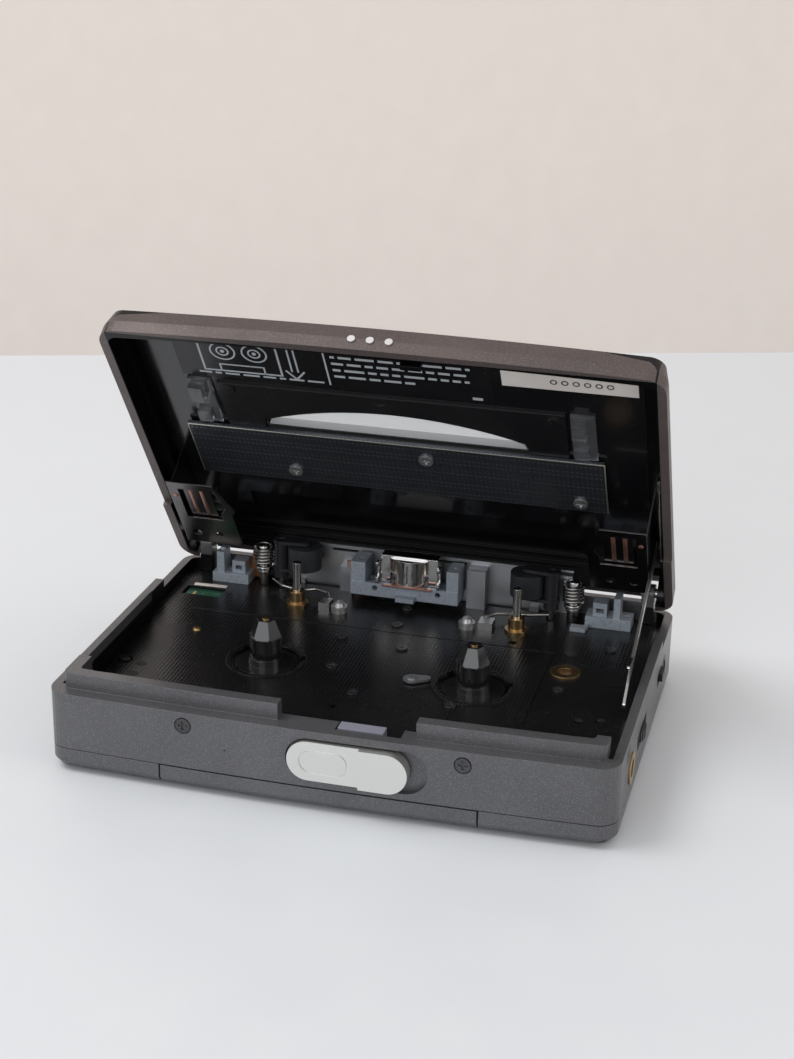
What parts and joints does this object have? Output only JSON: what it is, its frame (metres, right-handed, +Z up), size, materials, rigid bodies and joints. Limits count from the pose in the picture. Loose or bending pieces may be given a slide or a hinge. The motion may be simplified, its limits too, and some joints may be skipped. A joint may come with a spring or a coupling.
{
  "type": "cassette player",
  "caption": "Pocket cassette player, lid standing open: bowed case with latch slider, black deck with reel spindles, capstans, head carriage, and a lid with window and cassette pocket.",
  "frame": {"origin": "centre of the underside of the case, on the surface it rests on", "axes": "X along the front wall, Y from the front wall to the lid hinge, Z up"},
  "size_m": [0.1107, 0.0811, 0.0818],
  "materials": {
    "case_paint": "fine textured matt charcoal paint",
    "lid_paint": "satin brown-grey metallic paint",
    "deck_black": "black with a fine embossed dot pattern",
    "liner_black": "smooth black",
    "label_silver": "pale matt label, no lettering",
    "label_black": "gloss black label, no lettering",
    "window_clear": "clear tinted window",
    "clear_plastic": "clear moulded plastic",
    "zinc_grey": "die-cast zinc, matt blue-grey",
    "spring_steel": "bright spring steel",
    "plate_steel": "pressed steel plate, satin",
    "bright_chrome": "polished bright plating",
    "screw_dark": "blackened steel screws",
    "pin_steel": "turned steel",
    "brass_parts": "turned brass, slightly dull",
    "board_green": "solder-masked circuit board",
    "motor_can": "zinc-plated can",
    "contact_nickel": "nickel-plated contacts",
    "moulding_black": "black moulded plastic",
    "belt_rubber": "black rubber",
    "slider_silver": "satin silver",
    "tab_lilac": "pale lilac-white plastic",
    "gear_white": "white acetal",
    "key_grey": "dark grey keys with raised bar"
  },
  "bodies": {
    "player": {"main_case": "case_paint", "bottom_cover": "case_paint", "deck_plate": "deck_black", "guide_bracket_left": "zinc_grey", "guide_bracket_right": "zinc_grey", "capstan_bushings": "brass_parts", "locating_pins": "pin_steel", "reel_shafts": "brass_parts", "deck_screws": "screw_dark", "deck_eyelets": "brass_parts", "case_screws": "screw_dark", "main_pcb": "board_green", "control_pcb": "board_green", "motor": "motor_can", "battery_contacts": "contact_nickel", "headphone_jack": "brass_parts", "dc_jack": "moulding_black", "carriage_rail": "plate_steel", "drive_belt": "belt_rubber", "hinge_pins": "spring_steel", "pinch_coils": "spring_steel", "wire_springs": "spring_steel"},
    "lid": {"lid_shell": "lid_paint", "lid_liner": "liner_black", "lid_window": "window_clear", "window_panel": "liner_black", "holder_plate": "plate_steel", "holder_screws": "bright_chrome", "retainers": "clear_plastic", "info_label": "label_black", "serial_label": "label_silver", "pocket_left": "bright_chrome", "pocket_right": "bright_chrome", "rim_studs": "pin_steel", "lid_spring": "spring_steel"},
    "stay": {"stay_arm": "spring_steel"},
    "latch": {"latch_slider": "slider_silver", "latch_tab": "tab_lilac"},
    "reel_left": {"spindle_left": "moulding_black", "reel_gear_left": "gear_white"},
    "reel_right": {"spindle_right": "moulding_black", "reel_gear_right": "gear_white"},
    "capstan_left_body": {"capstan_left": "bright_chrome"},
    "capstan_right_body": {"capstan_right": "bright_chrome"},
    "pulley": {"motor_pulley": "brass_parts"},
    "idler": {"idler_gear": "gear_white"},
    "arm_left": {"roller_arm_left": "moulding_black"},
    "arm_right": {"roller_arm_right": "moulding_black"},
    "roller_left": {"pinch_roller_left": "belt_rubber"},
    "roller_right": {"pinch_roller_right": "belt_rubber"},
    "carriage": {"head_frame": "zinc_grey", "tape_head": "bright_chrome"},
    "volume": {"volume_wheel": "moulding_black"},
    "switch": {"mode_switch": "moulding_black"},
    "key_rewind_body": {"key_rewind": "key_grey"},
    "key_play_body": {"key_play": "key_grey"},
    "key_forward_body": {"key_forward": "key_grey"},
    "key_stop_body": {"key_stop": "key_grey"},
    "door": {"battery_door": "case_paint"},
    "lever": {"tape_lever": "plate_steel"}
  },
  "joints": [
    {"name": "lid_hinge", "type": "hinge", "parent": "player", "child": "lid", "pos_m": [0, 0.037, 0.0182], "axis": [-1, 0, 0], "range_deg": [-55, 0], "stiffness_Nm_per_rad": 0.086, "springref_deg": 17.76},
    {"name": "stay_pivot", "type": "hinge", "parent": "lid", "child": "stay", "pos_m": [0.05085, 0.03003, 0.03163], "axis": [-1, 0, 0], "range_deg": [0, 71.5]},
    {"name": "latch_slide", "type": "slide", "parent": "player", "child": "latch", "axis": [1, 0, 0], "range_m": [0, 0.003], "stiffness_N_per_m": 150, "springref_m": -0.001},
    {"name": "reel_left_spin", "type": "hinge", "parent": "player", "child": "reel_left", "pos_m": [-0.02175, -0.0044, 0.01], "axis": [0, 0, 1], "continuous": true},
    {"name": "reel_right_spin", "type": "hinge", "parent": "player", "child": "reel_right", "pos_m": [0.02075, -0.0044, 0.01], "axis": [0, 0, 1], "continuous": true},
    {"name": "capstan_left_spin", "type": "hinge", "parent": "player", "child": "capstan_left_body", "pos_m": [-0.0244, 0.0242, 0.004], "axis": [0, 0, 1], "continuous": true},
    {"name": "capstan_right_spin", "type": "hinge", "parent": "player", "child": "capstan_right_body", "pos_m": [0.0234, 0.0242, 0.004], "axis": [0, 0, 1], "continuous": true},
    {"name": "pulley_spin", "type": "hinge", "parent": "player", "child": "pulley", "pos_m": [0.04, 0.008, 0.003], "axis": [0, 0, 1], "continuous": true},
    {"name": "idler_spin", "type": "hinge", "parent": "player", "child": "idler", "pos_m": [-0.00835, 0.00495, 0.007], "axis": [0, 0, 1], "continuous": true},
    {"name": "arm_left_swing", "type": "hinge", "parent": "player", "child": "arm_left", "pos_m": [-0.0302, 0.0316, 0.019], "axis": [0, 0, -1], "range_deg": [0, 24], "stiffness_Nm_per_rad": 0.002, "springref_deg": -17.19},
    {"name": "arm_right_swing", "type": "hinge", "parent": "player", "child": "arm_right", "pos_m": [0.0292, 0.0316, 0.019], "axis": [0, 0, 1], "range_deg": [0, 24], "stiffness_Nm_per_rad": 0.002, "springref_deg": -17.19},
    {"name": "roller_left_spin", "type": "hinge", "parent": "arm_left", "child": "roller_left", "pos_m": [-0.025, 0.0316, 0.019], "axis": [0, 0, 1], "continuous": true},
    {"name": "roller_right_spin", "type": "hinge", "parent": "arm_right", "child": "roller_right", "pos_m": [0.024, 0.0316, 0.019], "axis": [0, 0, 1], "continuous": true},
    {"name": "head_slide", "type": "slide", "parent": "player", "child": "carriage", "axis": [0, -1, 0], "range_m": [0, 0.0032], "stiffness_N_per_m": 60, "springref_m": -0.002},
    {"name": "volume_turn", "type": "hinge", "parent": "player", "child": "volume", "pos_m": [0.0487, -0.0075, 0.0087], "axis": [0, 0, 1], "range_deg": [-140, 140]},
    {"name": "mode_slide", "type": "slide", "parent": "player", "child": "switch", "axis": [0, -1, 0], "range_m": [0, 0.002]},
    {"name": "key_rewind_press", "type": "slide", "parent": "player", "child": "key_rewind_body", "axis": [1, 0, 0], "range_m": [0, 0.0006], "stiffness_N_per_m": 400, "springref_m": -0.0005},
    {"name": "key_play_press", "type": "slide", "parent": "player", "child": "key_play_body", "axis": [1, 0, 0], "range_m": [0, 0.0006], "stiffness_N_per_m": 400, "springref_m": -0.0005},
    {"name": "key_forward_press", "type": "slide", "parent": "player", "child": "key_forward_body", "axis": [1, 0, 0], "range_m": [0, 0.0006], "stiffness_N_per_m": 400, "springref_m": -0.0005},
    {"name": "key_stop_press", "type": "slide", "parent": "player", "child": "key_stop_body", "axis": [1, 0, 0], "range_m": [0, 0.0006], "stiffness_N_per_m": 400, "springref_m": -0.0005},
    {"name": "door_hinge", "type": "hinge", "parent": "player", "child": "door", "pos_m": [0, -0.0154, 0.0007], "axis": [1, 0, 0], "range_deg": [0, 70]},
    {"name": "lever_swing", "type": "hinge", "parent": "player", "child": "lever", "pos_m": [0.0086, -0.0053, 0.0122], "axis": [0, 0, 1], "range_deg": [0, 20], "stiffness_Nm_per_rad": 0.0002, "springref_deg": -11.46}
  ],
  "couplings": [
    {"joint": "stay_pivot", "follows": "lid_hinge", "ratio": -1.3},
    {"joint": "capstan_right_spin", "follows": "capstan_left_spin", "ratio": -1},
    {"joint": "pulley_spin", "follows": "capstan_left_spin", "ratio": 6.125},
    {"joint": "idler_spin", "follows": "reel_left_spin", "ratio": -1.6667}
  ]
}
